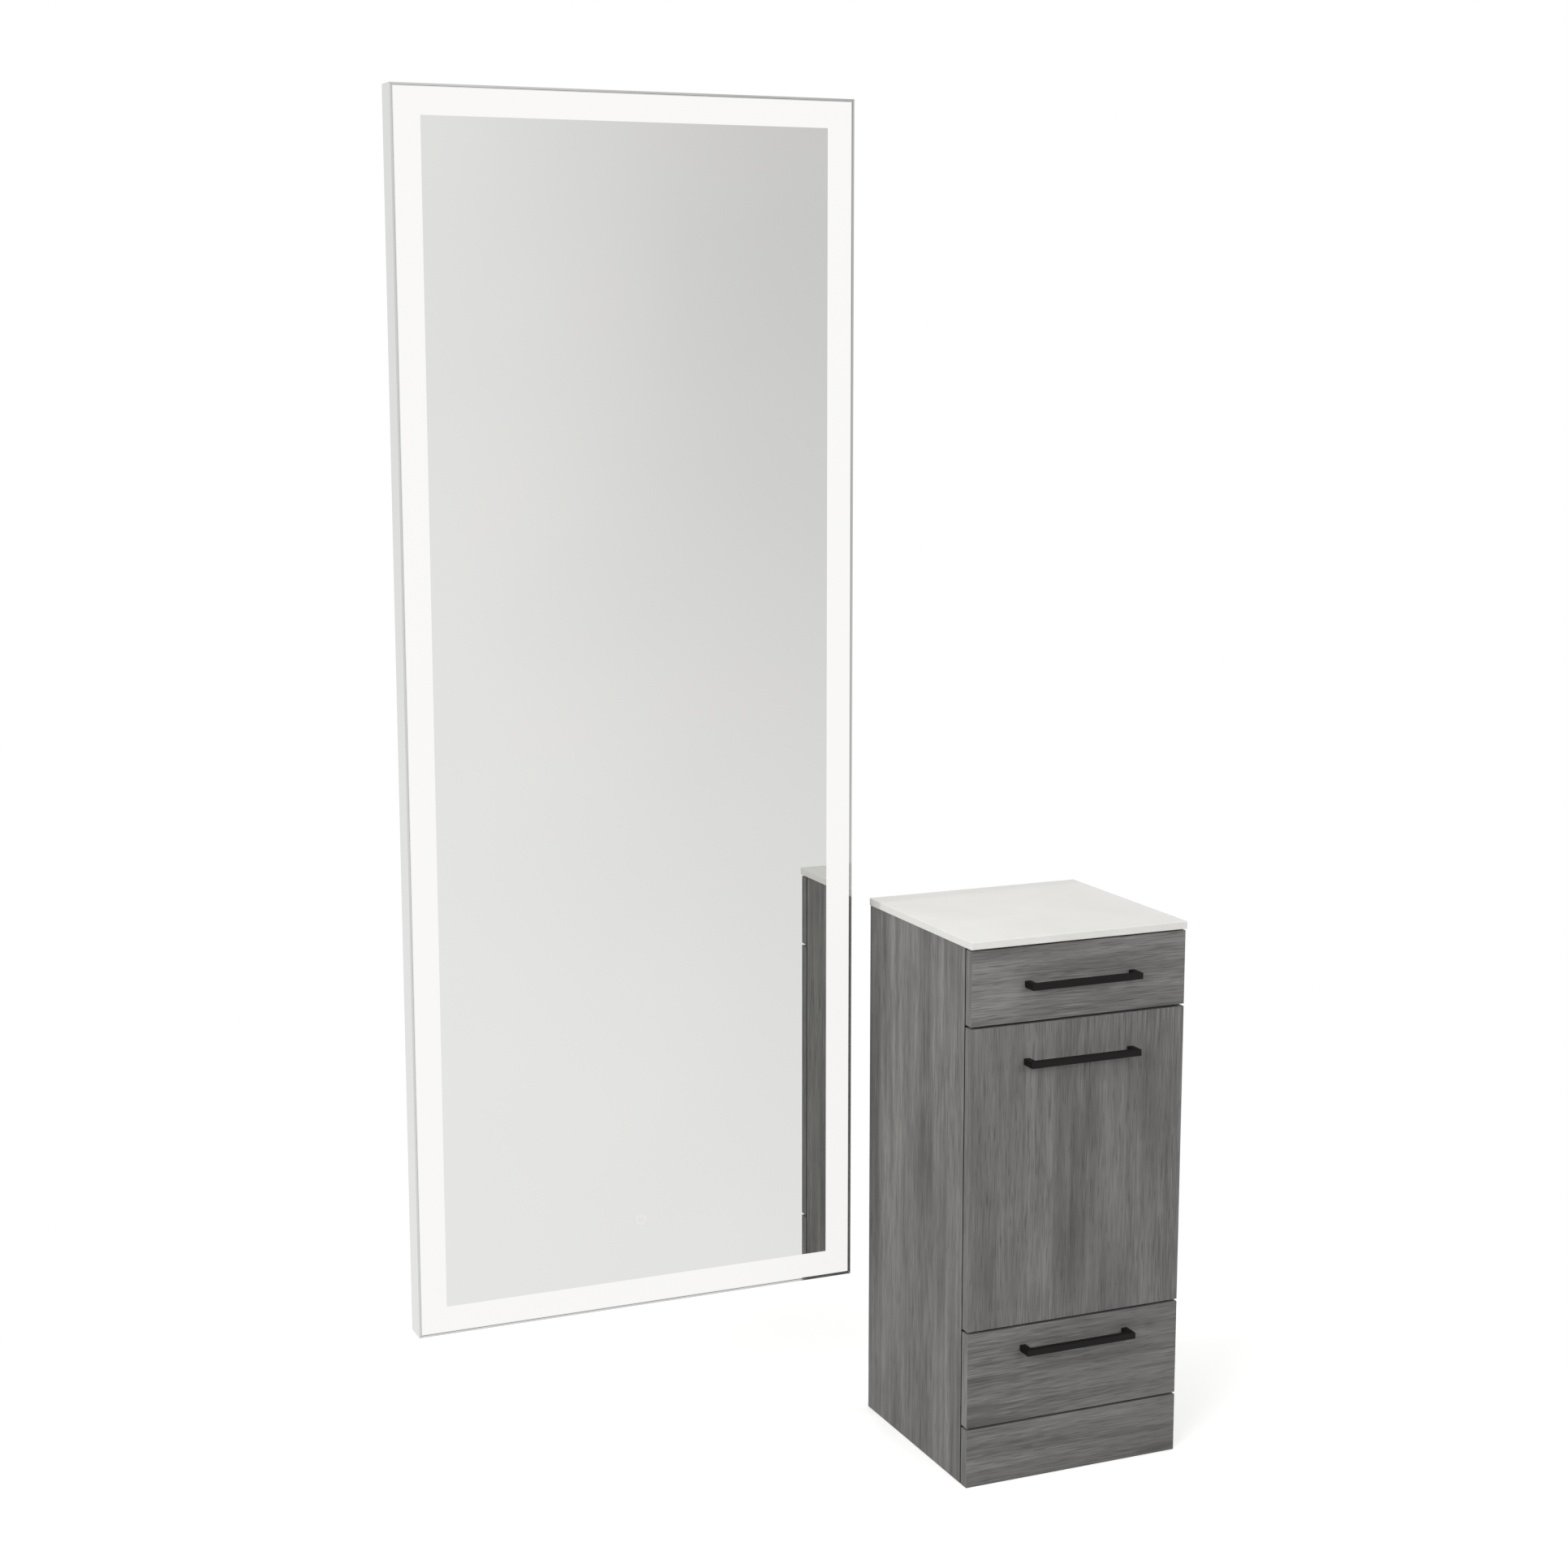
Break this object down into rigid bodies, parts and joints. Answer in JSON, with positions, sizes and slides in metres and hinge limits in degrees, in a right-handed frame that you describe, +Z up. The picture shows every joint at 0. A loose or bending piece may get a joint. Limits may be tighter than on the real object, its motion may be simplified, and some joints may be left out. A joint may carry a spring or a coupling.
{
  "type": "styling station",
  "caption": "Narrow laminate salon tool cabinet with a pale worktop, drawers and a tilt-out tool holder, beside a tall wall-hung mirror with a lit frosted edge.",
  "frame": {"origin": "on the floor, in the middle of the set's width and depth", "axes": "+Z up, +Y towards the wall, +X to the right as seen from the front"},
  "size_m": [1.131, 0.375, 2.077],
  "materials": {
    "grey_laminate": "fine-grained grey wood laminate, satin",
    "white_board": "melamine-faced board, matte",
    "worktop_stone": "honed, faint cloudy marbling",
    "black_metal": "black powder coat, satin",
    "zinc_steel": "zinc plated",
    "canister_steel": "spun stainless steel, satin",
    "satin_aluminium": "satin anodised",
    "silvered_glass": "polished mirror with a frosted band at its edge",
    "white_steel": "white powder coat",
    "led_tape": "white flexible tape",
    "white_plastic": "moulded, matte",
    "circuit_board": "solder-masked board",
    "black_rubber": "moulded, matte"
  },
  "bodies": {
    "cabinet": {"left_side_panel": "grey_laminate", "right_side_panel": "grey_laminate", "toe_kick_panel": "grey_laminate", "bottom_panel": "white_board", "lower_divider": "white_board", "upper_divider": "white_board", "top_panel": "white_board", "back_panel": "white_board", "worktop": "worktop_stone", "bottom_slide_outer_left": "zinc_steel", "bottom_slide_outer_right": "zinc_steel", "top_slide_outer_left": "zinc_steel", "top_slide_outer_right": "zinc_steel", "door_hinge_plate_left": "zinc_steel", "door_hinge_plate_right": "zinc_steel", "stay_post_plate": "zinc_steel", "wall_rail": "zinc_steel"},
    "bottom_drawer": {"bottom_drawer_front": "grey_laminate", "bottom_drawer_left_side": "white_board", "bottom_drawer_right_side": "white_board", "bottom_drawer_bottom": "white_board", "bottom_drawer_back": "white_board", "bottom_drawer_handle": "black_metal", "bottom_slide_inner_left": "zinc_steel", "bottom_slide_inner_right": "zinc_steel"},
    "bottom_slide_middles": {"bottom_slide_middle_left": "zinc_steel", "bottom_slide_middle_right": "zinc_steel"},
    "top_drawer": {"top_drawer_front": "grey_laminate", "top_drawer_left_side": "white_board", "top_drawer_right_side": "white_board", "top_drawer_bottom": "white_board", "top_drawer_back": "white_board", "top_drawer_handle": "black_metal", "top_slide_inner_left": "zinc_steel", "top_slide_inner_right": "zinc_steel"},
    "top_slide_middles": {"top_slide_middle_left": "zinc_steel", "top_slide_middle_right": "zinc_steel"},
    "tilt_door": {"door_panel": "grey_laminate", "door_handle": "black_metal", "door_hinge_bracket_left": "zinc_steel", "door_hinge_bracket_right": "zinc_steel", "stay_door_bracket": "zinc_steel", "tool_holder_shelf": "black_metal", "tool_canister_1": "canister_steel", "tool_canister_2": "canister_steel", "tool_canister_3": "canister_steel"},
    "door_links": {"door_link_left": "zinc_steel", "door_link_right": "zinc_steel"},
    "door_stay": {"stay_arm": "zinc_steel"},
    "mirror": {"mirror_frame_left": "satin_aluminium", "mirror_frame_right": "satin_aluminium", "mirror_frame_bottom": "satin_aluminium", "mirror_frame_top": "satin_aluminium", "mirror_glass": "silvered_glass", "mirror_back_pan": "white_steel", "led_strip": "led_tape", "led_driver": "white_plastic", "touch_sensor_board": "circuit_board", "power_lead_grommet": "black_rubber", "mirror_hanging_rail": "zinc_steel"}
  },
  "joints": [
    {"name": "bottom_drawer_slide", "type": "slide", "parent": "cabinet", "child": "bottom_drawer", "axis": [0, -1, 0], "range_m": [0, 0.25]},
    {"name": "bottom_middle_slide", "type": "slide", "parent": "cabinet", "child": "bottom_slide_middles", "axis": [0, -1, 0], "range_m": [0, 0.125]},
    {"name": "top_drawer_slide", "type": "slide", "parent": "cabinet", "child": "top_drawer", "axis": [0, -1, 0], "range_m": [0, 0.25]},
    {"name": "top_middle_slide", "type": "slide", "parent": "cabinet", "child": "top_slide_middles", "axis": [0, -1, 0], "range_m": [0, 0.125]},
    {"name": "door_tilt", "type": "hinge", "parent": "cabinet", "child": "tilt_door", "pos_m": [0.3805, -0.1605, 0.2475], "axis": [1, 0, 0], "range_deg": [0, 32]},
    {"name": "door_link_swing", "type": "hinge", "parent": "cabinet", "child": "door_links", "pos_m": [0.3805, -0.11235, 0.31416], "axis": [1, 0, 0], "range_deg": [-23.2, 0]},
    {"name": "stay_swing", "type": "hinge", "parent": "tilt_door", "child": "door_stay", "pos_m": [0.5417, -0.1305, 0.4275], "axis": [1, 0, 0], "range_deg": [-16, 0]},
    {"name": "mirror_lift", "type": "slide", "parent": "cabinet", "child": "mirror", "axis": [0, 0, 1], "range_m": [0, 0.014]}
  ],
  "couplings": [
    {"joint": "bottom_middle_slide", "follows": "bottom_drawer_slide", "ratio": 0.5},
    {"joint": "top_middle_slide", "follows": "top_drawer_slide", "ratio": 0.5},
    {"joint": "door_link_swing", "follows": "door_tilt", "ratio": -0.7223},
    {"joint": "stay_swing", "follows": "door_tilt", "ratio": -0.5}
  ]
}
